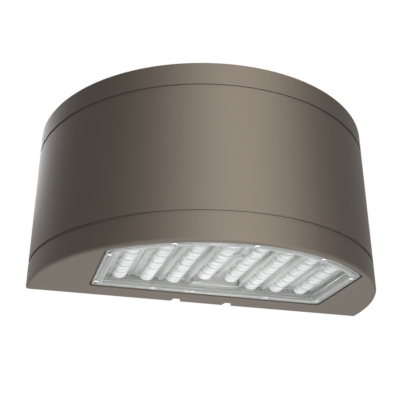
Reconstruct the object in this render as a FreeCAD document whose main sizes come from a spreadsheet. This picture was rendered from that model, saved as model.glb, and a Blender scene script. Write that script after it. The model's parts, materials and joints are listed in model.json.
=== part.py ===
"""Wall pack light: half-round die-cast housing that hinges on a wall plate, with a lens on its underside.

Frame: origin on the wall plane behind the middle of the wall plate, +Z up, front towards -Y.
All sizes are millimetres and live in the sheet "dim", whose cells drive every sketch.
"""
import FreeCAD
import Part
import math
import os

import Sketcher

Vector = FreeCAD.Vector

SIZES = {
    # housing shell
    "radius": 190.5,
    "height": 186.8,
    "rear_gap": 3.5,
    "skin": 3.5,
    "floor": 4.0,
    "bottom_round": 3.0,
    "top_round": 2.0,
    "groove_inset": 27.0,
    "groove_width": 3.6,
    "groove_depth": 1.2,
    "notch_offset": 29.5,
    "notch_width": 11.0,
    "notch_neck": 8.0,
    "notch_depth": 9.0,
    "ledge_width": 11.0,
    "ledge_thickness": 3.0,
    "root": 0.5,
    "cut_past": 1.0,
    "bulkhead_rise": 32.0,
    # lens opening and its seat
    "lens_half_width": 127.5,
    "front_margin": 6.8,
    "lens_back": 30.0,
    "lens_corner": 3.0,
    "lens_gap": 1.5,
    "seat_width": 8.0,
    "seat_thickness": 4.0,
    "seat_lap": 1.0,
    "boss_radius": 4.4,
    "boss_rise": 6.0,
    # lens
    "flange_thickness": 2.4,
    "gasket_thickness": 1.0,
    "gasket_inset": 0.5,
    "well_inset": 8.5,
    "well_wall": 1.5,
    "well_depth": 11.4,
    "lens_plate": 2.0,
    "optic_half": 8.3,
    "optic_shoulder": 7.1,
    "optic_shoulder_drop": 3.6,
    "optic_tip": 3.8,
    "optic_tip_depth": 5.0,
    "optic_drop": 6.0,
    "optic_web": 0.5,
    "rib_width": 5.4,
    "rib_drop": 3.2,
    "rib_setback": 6.0,
    "rib_stop": 2.0,
    "window_wall": 1.5,
    # light source
    "column_pitch": 28.7,
    "row_pitch": 18.4,
    "row_setback": 18.1,
    "chip_side": 5.0,
    "chip_thickness": 0.8,
    "chip_gap": 0.2,
    "board_thickness": 1.6,
    "board_inset": 11.5,
    "pad_thickness": 0.5,
    "pad_hole": 4.0,
    "connector_length": 44.0,
    "connector_width": 8.0,
    "connector_drop": 7.0,
    "connector_corner": 1.0,
    "connector_setback": 3.5,
    "connector_play": 1.5,
    "connector_side_play": 2.5,
    # screws
    "lens_screw": 1.9,
    "lens_screw_head": 3.4,
    "lens_screw_head_height": 1.8,
    "lens_screw_sink": 1.4,
    "screw_inset": 4.8,
    "front_screw_x": 72.0,
    "back_screw_x": 63.0,
    "side_screw_front": 12.25,
    "side_screw_back": 10.0,
    "small_screw": 1.5,
    "small_screw_head": 3.0,
    "small_screw_head_height": 1.8,
    "screw_bite": 6.0,
    "head_play": 0.3,
    "middle_screw_front": 4.8,
    "middle_screw_back": 5.2,
    "outer_screw_front": 2.0,
    "outer_screw_back": 4.0,
    # heat sink
    "sink_thickness": 4.0,
    "sink_inset": 1.5,
    "fin_height": 20.0,
    "fin_thickness": 2.0,
    "fin_pitch": 14.0,
    "fin_setback": 14.0,
    "fin_side_gap": 10.0,
    "fin_back_gap": 6.0,
    "blind_floor": 0.5,
    "post_x": 100.0,
    "grommet_radius": 6.0,
    "grommet_lip": 1.5,
    # driver bay
    "bracket_half_span": 90.0,
    "bracket_rise": 29.0,
    "bracket_depth": 76.0,
    "bracket_centre": 92.0,
    "bracket_sheet": 1.5,
    "bracket_foot": 14.0,
    "bracket_screw_inset": 10.0,
    "driver_length": 124.0,
    "driver_width": 58.0,
    "driver_height": 32.0,
    "driver_left": 84.0,
    "driver_corner": 3.0,
    "surge_length": 34.0,
    "surge_width": 34.0,
    "surge_height": 20.0,
    "surge_corner": 2.0,
    "terminal_length": 34.0,
    "terminal_width": 15.0,
    "terminal_height": 14.0,
    "terminal_corner": 1.0,
    "port_pitch": 10.0,
    "port_radius": 2.3,
    "bay_gap": 5.0,
    "lead_radius": 1.2,
    "lead_bend": 6.0,
    "lead_spacing": 5.0,
    "lead_gap": 4.0,
    "lead_rise": 10.7,
    # wall plate
    "plate_thickness": 3.0,
    "plate_bottom_rise": 9.4,
    "plate_top_drop": 10.9,
    "plate_corner": 6.0,
    "rim_width": 9.0,
    "rim_overlap": 2.0,
    "rim_margin": 1.0,
    "rim_drop": 2.0,
    "seal_plane": 15.0,
    "seal_thickness": 2.0,
    "seal_width": 5.0,
    "seal_gap": 0.3,
    "entry_radius": 11.0,
    "bushing_wall": 1.6,
    "bushing_lip": 2.0,
    "box_spacing": 88.9,
    "box_slot": 5.2,
    "box_slot_length": 12.0,
    "anchor_x": 130.0,
    "anchor_z": 38.0,
    "anchor_radius": 3.5,
    "wall_seal_outer": 66.0,
    "wall_seal_inner": 56.0,
    "wall_seal_depth": 1.5,
    # hinge
    "hinge_forward": 18.0,
    "hinge_drop": 9.0,
    "hinge_x": 110.0,
    "hinge_lug": 10.0,
    "hinge_ear": 7.0,
    "hinge_side_gap": 0.3,
    "hinge_pin": 2.5,
    "hinge_play": 0.05,
    "hinge_wall": 2.5,
    "hinge_ear_wall": 3.0,
    "hinge_neck": 15.5,
    "hinge_root": 30.0,
    "hinge_chamfer": 5.0,
    # closing screws
    "close_back": 7.0,
    "close_screw": 2.5,
    "close_head": 4.8,
    "close_head_height": 3.4,
    "close_gap": 0.4,
    "close_floor_gap": 1.5,
    "ear_thickness": 4.0,
    "ear_width": 8.0,
    "ear_offset": 3.0,
    "ear_ramp": 1.0,
    "close_lug_width": 14.0,
    "close_lug_height": 10.0,
    "close_lug_wall": 2.0,
    "socket_radius": 2.3,
    "socket_depth": 2.0,
    "ground_x": 84.0,
    "ground_z": 14.0,
    "ground_screw": 2.0,
    "ground_head": 4.0,
    "ground_head_height": 2.6,
    "ground_slot": 0.5,
    "ground_slot_depth": 1.3,
    "washer_radius": 5.0,
    "washer_thickness": 1.0,
}

doc = FreeCAD.newDocument("wall_pack_light")
sheet = doc.addObject("Spreadsheet::Sheet", "dim")
for row, (alias, number) in enumerate(SIZES.items(), start=1):
    sheet.set(f"A{row}", alias)
    sheet.set(f"B{row}", str(number))
    sheet.setAlias(f"B{row}", alias)
doc.recompute()


def dim(text):
    """Turn bare size names in an expression into references to the sheet."""
    words = []
    word = ""
    for letter in str(text) + " ":
        if letter.isalnum() or letter in "_.":
            word += letter
            continue
        words.append("dim." + word if word in SIZES else word)
        words.append(letter)
        word = ""
    return "".join(words).strip()


def value(text):
    """Number of an expression in the sheet's sizes."""
    return float(sheet.evalExpression(dim(text)))


# heights above the middle of the wall plate, as expressions
BOTTOM = "(-height / 2)"
TOP = "(height / 2)"
FLOOR_TOP = f"({BOTTOM} + floor)"
SEAT_TOP = f"({FLOOR_TOP} + seat_thickness)"
FLANGE_LOW = f"({FLOOR_TOP} - gasket_thickness - flange_thickness)"
FLANGE_TOP = f"({FLOOR_TOP} - gasket_thickness)"
PLATE_LOW = f"({FLANGE_LOW} + well_depth)"
PLATE_TOP = f"({PLATE_LOW} + lens_plate)"
BOARD_LOW = f"({PLATE_TOP} + chip_gap + chip_thickness)"
BOARD_TOP = f"({BOARD_LOW} + board_thickness)"
SINK_LOW = f"({BOARD_TOP} + pad_thickness)"
SINK_TOP = f"({SINK_LOW} + sink_thickness)"
BAY_LOW = f"({SINK_TOP} + bracket_rise)"
HINGE_Z = f"({TOP} - hinge_drop)"
CLOSE_HEAD_LOW = f"({FLOOR_TOP} + close_floor_gap)"
CLOSE_HEAD_TOP = f"({CLOSE_HEAD_LOW} + close_head_height)"
EAR_LOW = f"({CLOSE_HEAD_TOP} + close_gap)"
EAR_TOP = f"({EAR_LOW} + ear_thickness)"
CLOSE_LUG_LOW = f"({EAR_TOP} + close_gap)"
BULKHEAD_TOP = f"({FLOOR_TOP} + bulkhead_rise)"
AXIS_Y = "(-rear_gap)"
LENS_FRONT = "(radius - front_margin)"
LENS_BACK_Y = f"({AXIS_Y} - lens_back)"
LENS_SHOULDER = f"sqrt(pow({LENS_FRONT}; 2) - pow(lens_half_width; 2))"
CONNECTOR_BACK = f"({LENS_BACK_Y} - well_inset - well_wall - connector_setback)"
CONNECTOR_FRONT = f"({CONNECTOR_BACK} - connector_width)"
WINDOW_FRONT = f"({CONNECTOR_FRONT} - connector_play - window_wall)"
WINDOW_HALF = "(connector_length / 2 + connector_side_play + window_wall)"


def origin_part(body, role):
    """Origin plane or axis of a body, found by its role."""
    return [part for part in body.Origin.OriginFeatures if part.Role == role][0]


def new_body(label, multi=False):
    """Empty body whose label names its file; multi allows a group of separate solids."""
    body = doc.addObject("PartDesign::Body", label)
    body.Label = label
    body.AllowCompound = multi
    return body


def new_sketch(body, role, offset, shift="0"):
    """Sketch on an origin plane, moved by offset along the plane's normal and by shift along its x."""
    sketch = body.newObject("Sketcher::SketchObject", "Sketch")
    sketch.AttachmentSupport = [(origin_part(body, role), "")]
    sketch.MapMode = "FlatFace"
    place = Vector(value(shift), 0, value(offset))
    sketch.AttachmentOffset = FreeCAD.Placement(place, FreeCAD.Rotation())
    sketch.setExpression("AttachmentOffset.Base.z", dim(offset))
    sketch.setExpression("AttachmentOffset.Base.x", dim(shift))
    return sketch


def bind(sketch, kind, *where):
    """Add a driving constraint whose value is the expression given last."""
    expression = where[-1]
    index = sketch.addConstraint(Sketcher.Constraint(kind, *where[:-1], value(expression)))
    sketch.setExpression(f"Constraints[{index}]", dim(expression))


def arc_between(start, end, radius):
    """Minor arc from start to end; a positive radius turns left, a negative one right."""
    half = (end - start) / 2
    rise = math.sqrt(max(radius * radius - half.Length * half.Length, 0.0))
    side = Vector(-half.y, half.x, 0).normalize() * (rise if radius > 0 else -rise)
    centre = start + half + side
    outward = (start + half - centre) if rise > 1e-9 else Vector(half.y, -half.x, 0)
    middle = centre + outward.normalize() * abs(radius)
    return Part.Arc(start, middle, end)


def draw_outline(sketch, corners):
    """Closed outline through corners (x, y); (x, y, radius) starts an arc to the next corner."""
    points = [Vector(value(corner[0]), value(corner[1]), 0) for corner in corners]
    count = len(points)
    first = len(sketch.Geometry)
    for index, corner in enumerate(corners):
        start, end = points[index], points[(index + 1) % count]
        if len(corner) == 3:
            arc = arc_between(start, end, value(corner[2]))
            sketch.addGeometry(arc)
        else:
            sketch.addGeometry(Part.LineSegment(start, end))
    ends = []
    for index, corner in enumerate(corners):
        turns_right = len(corner) == 3 and value(corner[2]) < 0
        ends.append((2, 1) if turns_right else (1, 2))
    for index, corner in enumerate(corners):
        following = (index + 1) % count
        here, there = first + index, first + following
        meeting = Sketcher.Constraint("Coincident", here, ends[index][1], there, ends[following][0])
        sketch.addConstraint(meeting)
        bind(sketch, "DistanceX", -1, 1, here, ends[index][0], corner[0])
        bind(sketch, "DistanceY", -1, 1, here, ends[index][0], corner[1])
        if len(corner) == 3:
            bind(sketch, "Radius", here, f"abs({corner[2]})")


def draw_box(sketch, left, low, right, high):
    """Closed rectangle between two corners."""
    draw_outline(sketch, [(left, low), (right, low), (right, high), (left, high)])


def draw_circle(sketch, x, y, radius):
    """Circle with a bound centre and radius."""
    index = sketch.addGeometry(Part.Circle(Vector(value(x), value(y), 0), Vector(0, 0, 1), value(radius)))
    bind(sketch, "DistanceX", -1, 1, index, 3, x)
    bind(sketch, "DistanceY", -1, 1, index, 3, y)
    bind(sketch, "Radius", index, radius)


def draw_polygon(sketch, x, y, radius, sides):
    """Regular polygon about a centre."""
    corners = []
    for side in range(sides):
        turn = 360 * (side + 0.5) / sides
        corners.append((f"{x} + {radius} * cos({turn})", f"{y} + {radius} * sin({turn})"))
    draw_outline(sketch, corners)


def extrude(body, kind, sketch, length, reverse=False, both=False):
    """Pad or Pocket of a sketch, checked to have changed the solid it works on."""
    before = body.Shape.Volume if body.Tip else 0.0
    feature = body.newObject("PartDesign::" + kind, kind)
    feature.Profile = sketch
    feature.Reversed = reverse
    feature.Midplane = both
    feature.Length = value(length)
    feature.setExpression("Length", dim(length))
    doc.recompute()
    if abs(body.Shape.Volume - before) < 1e-3:
        raise RuntimeError(f"{body.Label}: {kind} changed nothing")
    return feature


def pad(body, sketch, length, reverse=False, both=False):
    """Add material along the sketch's normal."""
    return extrude(body, "Pad", sketch, length, reverse, both)


def pocket(body, sketch, length, reverse=False, both=False):
    """Cut against the sketch's normal, along it when reversed, or to both sides."""
    return extrude(body, "Pocket", sketch, length, reverse, both)


def round_edges(body, radius, test):
    """Fillet the edges of the tip that pass the test."""
    base = body.Tip
    names = [f"Edge{number}" for number, edge in enumerate(base.Shape.Edges, start=1) if test(edge)]
    if not names:
        raise RuntimeError(f"{body.Label}: no edge to round")
    fillet = body.newObject("PartDesign::Fillet", "Fillet")
    fillet.Base = (base, names)
    fillet.Radius = value(radius)
    fillet.setExpression("Radius", dim(radius))
    doc.recompute()


def is_upright(edge):
    """True for a straight edge along Z."""
    ends = [vertex.Point for vertex in edge.Vertexes]
    if len(ends) != 2 or not isinstance(edge.Curve, Part.Line):
        return False
    return abs(ends[0].x - ends[1].x) < 1e-6 and abs(ends[0].y - ends[1].y) < 1e-6


def half_disc(radius, back):
    """Outline of a half disc whose round side faces the front, closed by a line at back."""
    return [
        (f"-({radius})", AXIS_Y, radius),
        ("0", f"{AXIS_Y} - ({radius})", radius),
        (radius, AXIS_Y),
        (radius, back),
        (f"-({radius})", back),
    ]


def lens_outline(grow):
    """Outline of the lens, grown by an expression; negative shrinks it."""
    half = f"(lens_half_width + ({grow}))"
    front = f"({LENS_FRONT} + ({grow}))"
    shoulder = f"({AXIS_Y} - sqrt(pow({front}; 2) - pow({half}; 2)))"
    back = f"({LENS_BACK_Y} + ({grow}))"
    return [(f"-{half}", back), (f"-{half}", shoulder, front), (half, shoulder), (half, back)]


def led_columns():
    """Columns on the right side as (x, front row, back row): as many as the lens's well holds."""
    reach = value(f"{LENS_FRONT} - well_inset - well_wall - optic_half")
    width = value("lens_half_width - well_inset - well_wall - optic_half")
    pitch = value("column_pitch")
    columns = []
    for index in range(int(width / pitch + 0.5)):
        across = pitch * (index + 0.5)
        ahead = math.sqrt(reach ** 2 - across ** 2) - value("lens_back + row_setback")
        behind_window = across - value("optic_half") < value(WINDOW_HALF)
        back_row = 1 if behind_window else 0
        columns.append((f"(column_pitch * {index + 0.5})", int(ahead / value("row_pitch")), back_row))
    return columns


def row_y(row):
    """Place of a row of the light source; rows are counted from the back."""
    return f"({LENS_BACK_Y} - row_setback - row_pitch * {row})"


def arc_place(x):
    """Point at x on the screw line that follows the lens's round front."""
    return (x, f"({AXIS_Y} - sqrt(pow({LENS_FRONT} - screw_inset; 2) - pow({x}; 2)))")


SIDE_X = "(lens_half_width - screw_inset)"
BACK_Y = f"({LENS_BACK_Y} - screw_inset)"
SIDE_FRONT_Y = f"({AXIS_Y} - {LENS_SHOULDER} + side_screw_front)"
SIDE_BACK_Y = f"({LENS_BACK_Y} - side_screw_back)"


def lens_screw_places():
    """Screws round the lens flange: sides, round front and straight back."""
    places = [("0", BACK_Y), arc_place("0")]
    for sign in ("", "-"):
        places += [(f"{sign}{SIDE_X}", SIDE_FRONT_Y), (f"{sign}{SIDE_X}", SIDE_BACK_Y)]
        places += [arc_place(f"({sign}front_screw_x)"), (f"({sign}back_screw_x)", BACK_Y)]
    return places


def optic_screw_places():
    """Screws through the lens plate and board, on the lines between the columns."""
    columns = led_columns()
    front, back = columns[0][1:]
    places = [("0", f"({row_y(front - 2)} - middle_screw_front)")]
    places.append(("0", f"({row_y(back)} - middle_screw_back)"))
    front, back = columns[-1][1:]
    for sign in ("", "-"):
        x = f"({sign}column_pitch * {len(columns) - 1})"
        places.append((x, f"({row_y(front)} - outer_screw_front)"))
        places.append((x, f"({row_y(back)} + outer_screw_back)"))
    return places


def sink_screw_places():
    """Screws that hold the heat sink down on the posts beside the seat."""
    places = []
    for sign in ("", "-"):
        places += [(f"{sign}{SIDE_X}", f"(({SIDE_FRONT_Y} + {SIDE_BACK_Y}) / 2)")]
        places += [arc_place(f"({sign}post_x)"), (f"({sign}post_x)", BACK_Y)]
    return places


def screw_group(label, places, shank, head, head_height, seat, tip, head_down=True):
    """Identical upright screws: shanks from the seat to the tip and pan heads on the seat."""
    body = new_body(label, multi=True)
    shanks = new_sketch(body, "XY_Plane", seat)
    for x, y in places:
        draw_circle(shanks, x, y, shank)
    pad(body, shanks, f"abs(({tip}) - ({seat}))", reverse=not head_down)
    heads = new_sketch(body, "XY_Plane", seat)
    for x, y in places:
        draw_circle(heads, x, y, head)
    pad(body, heads, head_height, reverse=head_down)
    return body


def make_housing_shell(body):
    """Half-round shell with a top and a floor, open to the wall."""
    outer = new_sketch(body, "XY_Plane", BOTTOM)
    draw_outline(outer, half_disc("radius", AXIS_Y)[:3])
    pad(body, outer, "height")

    round_edges(body, "bottom_round", lambda edge: is_round_rim(edge, BOTTOM))
    round_edges(body, "top_round", lambda edge: is_round_rim(edge, TOP))
    inner = new_sketch(body, "XY_Plane", FLOOR_TOP)
    draw_outline(inner, half_disc("radius - skin", f"{AXIS_Y} + skin"))
    pocket(body, inner, "height - floor - skin", reverse=True)


def is_round_rim(edge, level):
    """True for a round edge that lies at a level."""
    return isinstance(edge.Curve, Part.Circle) and abs(edge.CenterOfMass.z - value(level)) < 1e-3


def make_housing_grooves(body):
    """Two shallow bands turned into the round front, one near each end."""
    for height in (f"({BOTTOM} + groove_inset)", f"({TOP} - groove_inset)"):
        before = body.Shape.Volume
        band = new_sketch(body, "YZ_Plane", "0", shift=AXIS_Y)
        draw_box(band, "-radius - groove_depth", f"{height} - groove_width / 2",
                 "-radius + groove_depth", f"{height} + groove_width / 2")
        groove = body.newObject("PartDesign::Groove", "Groove")
        groove.Profile = band
        groove.ReferenceAxis = (band, ["V_Axis"])
        groove.Angle = 360
        doc.recompute()
        if before - body.Shape.Volume < 1:
            raise RuntimeError("the groove cut nothing")


def make_lens_seat(body):
    """Opening in the floor with a raised seat behind it, screw bosses and heat sink posts."""
    ring = new_sketch(body, "XY_Plane", FLOOR_TOP)
    draw_outline(ring, lens_outline("lens_gap + seat_lap"))
    pad(body, ring, "seat_thickness")
    bosses = new_sketch(body, "XY_Plane", SEAT_TOP)
    for x, y in lens_screw_places():
        draw_circle(bosses, x, y, "boss_radius")
    pad(body, bosses, "boss_rise")
    posts = new_sketch(body, "XY_Plane", SEAT_TOP)
    for x, y in sink_screw_places():
        draw_circle(posts, x, y, "boss_radius")
    pad(body, posts, f"{SINK_LOW} - {SEAT_TOP}")
    opening = new_sketch(body, "XY_Plane", BOTTOM)
    draw_outline(opening, lens_outline("lens_gap"))
    pocket(body, opening, "floor", reverse=True)
    round_edges(body, "lens_corner + lens_gap", lambda edge: is_upright(edge) and is_opening_corner(edge))
    through = new_sketch(body, "XY_Plane", BOTTOM)
    draw_outline(through, lens_outline("-seat_width"))
    pocket(body, through, f"{SINK_LOW} - {BOTTOM}", reverse=True)
    for places, radius in ((lens_screw_places(), "lens_screw"), (sink_screw_places(), "small_screw")):
        holes = new_sketch(body, "XY_Plane", BOTTOM)
        for x, y in places:
            draw_circle(holes, x, y, radius)
        pocket(body, holes, f"{SINK_LOW} - {BOTTOM}", reverse=True)


def is_opening_corner(edge):
    """True for the upright edges at the corners of the lens opening."""
    middle = edge.CenterOfMass
    beside = abs(abs(middle.x) - value("lens_half_width + lens_gap")) < 0.01
    return beside and middle.z < value(FLOOR_TOP)


def make_housing_rear(body):
    """Side ledges and bulkhead that close on the seal, closing ears and the notches under them."""
    ledges = new_sketch(body, "XZ_Plane", "seal_plane")
    for sign in ("", "-"):
        inner = f"({sign}(radius - skin - ledge_width))"
        outer = f"({sign}(radius - skin + root))"
        draw_box(ledges, inner, FLOOR_TOP, outer, f"{HINGE_Z} - hinge_neck")
    pad(body, ledges, "ledge_thickness")
    bulkhead = new_sketch(body, "XZ_Plane", "seal_plane")
    draw_box(bulkhead, "-radius + skin + root", FLOOR_TOP, "radius - skin - root", BULKHEAD_TOP)
    pad(body, bulkhead, "ledge_thickness")
    make_closing_ears(body)
    notches = new_sketch(body, "XY_Plane", BOTTOM)
    for sign in ("", "-"):
        middle = f"({sign}notch_offset)"
        draw_outline(notches, [
            (f"{middle} - notch_width / 2", f"{AXIS_Y} + cut_past"),
            (f"{middle} - notch_neck / 2", f"{AXIS_Y} - notch_depth"),
            (f"{middle} + notch_neck / 2", f"{AXIS_Y} - notch_depth"),
            (f"{middle} + notch_width / 2", f"{AXIS_Y} + cut_past"),
        ])
    pocket(body, notches, "floor", reverse=True)


def make_closing_ears(body):
    """Two ears behind the bulkhead, ramped underneath where they slip over the screw heads."""
    for side in (1, -1):
        profile = new_sketch(body, "YZ_Plane", f"({side} * (notch_offset + ear_offset + ear_width / 2))")
        draw_outline(profile, [
            ("-seal_plane - root", EAR_LOW),
            ("-close_back", EAR_LOW),
            (f"{AXIS_Y} - cut_past", f"{EAR_LOW} + ear_ramp"),
            (f"{AXIS_Y} - cut_past", EAR_TOP),
            ("-seal_plane - root", EAR_TOP),
        ])
        pad(body, profile, "ear_width", both=True)


def make_hinge_ears(body):
    """Four ears under the top wall, two for each hinge pin."""
    outer = "(hinge_pin + hinge_ear_wall)"
    for side in (1, -1):
        for place in (1, -1):
            near = "(hinge_lug / 2 + hinge_side_gap)"
            offset = f"({side} * (hinge_x + {place} * ({near} + hinge_ear / 2)))"
            ear = new_sketch(body, "YZ_Plane", offset)
            draw_outline(ear, [
                (f"-hinge_forward - {outer}", HINGE_Z, outer),
                ("-hinge_forward", f"{HINGE_Z} - {outer}", outer),
                (f"-hinge_forward + {outer}", HINGE_Z),
                (f"-hinge_forward + {outer}", f"{TOP} - skin + root"),
                (f"-hinge_forward - {outer}", f"{TOP} - skin + root"),
            ])
            pad(body, ear, "hinge_ear", both=True)
            bore = new_sketch(body, "YZ_Plane", offset)
            draw_circle(bore, "-hinge_forward", HINGE_Z, "hinge_pin")
            pocket(body, bore, "hinge_ear + root", both=True)


def make_housing():
    """Die-cast housing, one piece."""
    body = new_body("housing")
    make_housing_shell(body)
    make_housing_grooves(body)
    make_lens_seat(body)
    make_housing_rear(body)
    make_hinge_ears(body)
    return body


def make_hinge_pins():
    """Two pins pressed into the housing's ears."""
    body = new_body("hinge_pins", multi=True)
    for side in (1, -1):
        section = new_sketch(body, "YZ_Plane", f"({side} * hinge_x)")
        draw_circle(section, "-hinge_forward", HINGE_Z, "hinge_pin")
        pad(body, section, "hinge_lug + 2 * hinge_side_gap + 2 * hinge_ear", both=True)
    return body


def make_lens_tray(body):
    """Flange, upright wall and raised plate of the clear lens."""
    flange = new_sketch(body, "XY_Plane", FLANGE_LOW)
    draw_outline(flange, lens_outline("0"))
    pad(body, flange, "flange_thickness")
    round_edges(body, "lens_corner", is_upright)
    well = new_sketch(body, "XY_Plane", FLANGE_TOP)
    draw_outline(well, lens_outline("-well_inset"))
    pad(body, well, f"{PLATE_TOP} - {FLANGE_TOP}")
    hollow = new_sketch(body, "XY_Plane", FLANGE_LOW)
    draw_outline(hollow, lens_outline("-well_inset - well_wall"))
    pocket(body, hollow, "well_depth", reverse=True)


def repeat_rows(body, feature, count):
    """Repeat a feature of the front row towards the back, and mirror the column in X."""
    pattern = body.newObject("PartDesign::MultiTransform", "ColumnRows")
    rows = body.newObject("PartDesign::LinearPattern", "Rows")
    mirror = body.newObject("PartDesign::Mirrored", "BothSides")
    pattern.Originals = [feature]
    rows.Direction = (origin_part(body, "Y_Axis"), [""])
    rows.Occurrences = count
    rows.Length = value(f"row_pitch * {count - 1}")
    rows.setExpression("Length", dim(f"row_pitch * {count - 1}"))
    mirror.MirrorPlane = (origin_part(body, "YZ_Plane"), [""])
    pattern.Transformations = [rows, mirror]
    body.Tip = pattern
    doc.recompute()


def make_lens_optics(body):
    """Optics under the plate: a tapered ridge for each column, notched between the light points."""
    columns = led_columns()
    for x, front, back in columns:
        ridges = new_sketch(body, "XZ_Plane", f"-({row_y(back)} + optic_half)")
        for sign in ("", "-"):
            middle = f"({sign}{x})"
            draw_outline(ridges, [
                (f"{middle} - optic_half", PLATE_LOW),
                (f"{middle} - optic_shoulder", f"{PLATE_LOW} - optic_shoulder_drop"),
                (f"{middle} - optic_tip", f"{PLATE_LOW} - optic_drop"),
                (f"{middle} + optic_tip", f"{PLATE_LOW} - optic_drop"),
                (f"{middle} + optic_shoulder", f"{PLATE_LOW} - optic_shoulder_drop"),
                (f"{middle} + optic_half", PLATE_LOW),
            ])
        pad(body, ridges, f"row_pitch * {front - back} + 2 * optic_half")
    notches = new_sketch(body, "YZ_Plane", "0")
    for row in range(max(front for x, front, back in columns) + 2):
        middle = f"({row_y(row)} + row_pitch / 2)"
        reach = "(row_pitch / 2 - optic_tip_depth)"
        draw_outline(notches, [
            (f"{middle} - {reach}", f"{PLATE_LOW} - optic_drop"),
            (middle, f"{PLATE_LOW} - optic_web"),
            (f"{middle} + {reach}", f"{PLATE_LOW} - optic_drop"),
        ])
    pocket(body, notches, "2 * (lens_half_width - well_inset - well_wall)", both=True)


def make_lens_ribs(body):
    """Ribs between the columns and the window box over the board's connector."""
    ribs = new_sketch(body, "XY_Plane", PLATE_LOW)
    reach = f"({LENS_FRONT} - well_inset - rib_setback)"
    last = len(led_columns()) - 1
    for step in range(-last, last + 1):
        x = f"(column_pitch * {step})"
        front = f"({AXIS_Y} - sqrt(pow({reach}; 2) - pow({x}; 2)))"
        back = CONNECTOR_BACK if step else f"({WINDOW_FRONT} - rib_stop)"
        draw_box(ribs, f"{x} - rib_width / 2", front, f"{x} + rib_width / 2", back)
    pad(body, ribs, "rib_drop", reverse=True)
    window = new_sketch(body, "XY_Plane", PLATE_LOW)
    draw_box(window, f"-{WINDOW_HALF}", WINDOW_FRONT, WINDOW_HALF,
             f"{LENS_BACK_Y} - well_inset - well_wall / 2")
    pad(body, window, "connector_drop", reverse=True)
    inside = new_sketch(body, "XY_Plane", PLATE_TOP)
    draw_box(inside, f"-{WINDOW_HALF} + window_wall", f"{WINDOW_FRONT} + window_wall",
             f"{WINDOW_HALF} - window_wall", f"{CONNECTOR_BACK} + connector_play")
    pocket(body, inside, "connector_drop + lens_plate - window_wall")


def make_lens_holes(body):
    """Screw holes in the flange and in the plate."""
    for places, radius in ((lens_screw_places(), "lens_screw"), (optic_screw_places(), "small_screw")):
        holes = new_sketch(body, "XY_Plane", FLANGE_LOW)
        for x, y in places:
            draw_circle(holes, x, y, radius)
        pocket(body, holes, "well_depth + lens_plate", reverse=True)
    sinks = new_sketch(body, "XY_Plane", FLANGE_LOW)
    for x, y in optic_screw_places():
        draw_circle(sinks, x, y, "small_screw_head + head_play")
    pocket(body, sinks, "well_depth", reverse=True)
    recesses = new_sketch(body, "XY_Plane", FLANGE_LOW)
    for x, y in lens_screw_places():
        draw_circle(recesses, x, y, "lens_screw_head + head_play")
    pocket(body, recesses, "lens_screw_sink", reverse=True)


def make_lens():
    """Clear moulded lens with its optics."""
    body = new_body("lens")
    make_lens_tray(body)
    make_lens_optics(body)
    make_lens_ribs(body)
    make_lens_holes(body)
    return body


def make_flat(label, low, thickness, outline, holes=(), hole_radius="small_screw"):
    """Flat piece with an outline in the XY plane and round holes."""
    body = new_body(label)
    shape = new_sketch(body, "XY_Plane", low)
    draw_outline(shape, outline)
    for x, y in holes:
        draw_circle(shape, x, y, hole_radius)
    pad(body, shape, thickness)
    return body


def make_lens_gasket():
    """Sealing ring between the lens flange and the seat."""
    body = make_flat("lens_gasket", FLANGE_TOP, "gasket_thickness", lens_outline("-gasket_inset"),
                     lens_screw_places(), "lens_screw")
    inner = new_sketch(body, "XY_Plane", FLOOR_TOP)
    draw_outline(inner, lens_outline("-seat_width"))
    pocket(body, inner, "gasket_thickness")
    return body


def make_thermal_pad(outline):
    """Soft pad between the board and the heat sink, open where the leads pass."""
    body = make_flat("thermal_pad", BOARD_TOP, "pad_thickness", outline, optic_screw_places())
    hole = new_sketch(body, "XY_Plane", SINK_LOW)
    draw_circle(hole, "0", LEAD_Y, "pad_hole")
    pocket(body, hole, "pad_thickness")
    return body


def make_led_chips():
    """Light points under the board."""
    body = new_body("led_chips", multi=True)
    half = "chip_side / 2"
    for x, front, back in led_columns():
        y = row_y(front)
        section = new_sketch(body, "XY_Plane", BOARD_LOW)
        draw_box(section, f"{x} - {half}", f"{y} - {half}", f"{x} + {half}", f"{y} + {half}")
        chip = pad(body, section, "chip_thickness", reverse=True)
        repeat_rows(body, chip, front - back + 1)
    return body


def make_board_connector():
    """Plug housing on the underside of the board, in the lens's window box."""
    body = new_body("board_connector")
    section = new_sketch(body, "XY_Plane", BOARD_LOW)
    draw_box(section, "-connector_length / 2", CONNECTOR_FRONT, "connector_length / 2", CONNECTOR_BACK)
    pad(body, section, "connector_drop", reverse=True)
    round_edges(body, "connector_corner", is_upright)
    return body


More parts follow.
